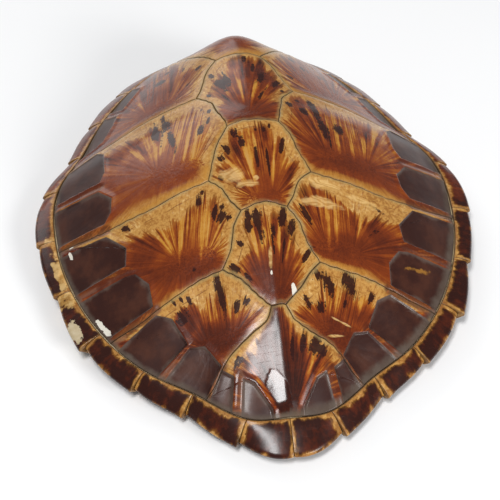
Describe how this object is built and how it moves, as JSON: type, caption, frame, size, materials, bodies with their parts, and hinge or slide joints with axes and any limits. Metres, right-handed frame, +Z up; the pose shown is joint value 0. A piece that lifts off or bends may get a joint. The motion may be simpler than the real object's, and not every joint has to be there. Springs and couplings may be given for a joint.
{
  "type": "sea turtle shell",
  "caption": "Domed upper shell of a sea turtle: a bony carapace covered by tortoiseshell horn scutes, hollow and open beneath.",
  "frame": {"origin": "middle of the footprint, on the surface that the shell rests on", "axes": "+Z up through the top of the dome, +Y to the head end, +X to the animal's right, so that X = 0 is its plane of symmetry"},
  "size_m": [0.4424, 0.5558, 0.1344],
  "materials": {
    "horn_dome": "varnished tortoiseshell horn, amber to mahogany with dark blotches and fanning streaks",
    "horn_rim": "varnished dark mahogany horn with ragged amber borders",
    "bone": "dry porous bone, cream to tan"
  },
  "bodies": {
    "root": {"bony_carapace": "bone", "vertebral_1": "horn_dome", "vertebral_2": "horn_dome", "vertebral_3": "horn_dome", "vertebral_4": "horn_dome", "vertebral_5": "horn_dome", "costal_left_1": "horn_dome", "costal_left_2": "horn_dome", "costal_left_3": "horn_dome", "costal_left_4": "horn_dome", "costal_right_1": "horn_dome", "costal_right_2": "horn_dome", "costal_right_3": "horn_dome", "costal_right_4": "horn_dome", "nuchal": "horn_rim", "marginal_left_1": "horn_rim", "marginal_left_2": "horn_rim", "marginal_left_3": "horn_rim", "marginal_left_4": "horn_rim", "marginal_left_5": "horn_rim", "marginal_left_6": "horn_rim", "marginal_left_7": "horn_rim", "marginal_left_8": "horn_rim", "marginal_left_9": "horn_rim", "marginal_left_10": "horn_rim", "marginal_left_11": "horn_rim", "marginal_left_12": "horn_rim", "marginal_right_1": "horn_rim", "marginal_right_2": "horn_rim", "marginal_right_3": "horn_rim", "marginal_right_4": "horn_rim", "marginal_right_5": "horn_rim", "marginal_right_6": "horn_rim", "marginal_right_7": "horn_rim", "marginal_right_8": "horn_rim", "marginal_right_9": "horn_rim", "marginal_right_10": "horn_rim", "marginal_right_11": "horn_rim", "marginal_right_12": "horn_rim"}
  },
  "joints": []
}
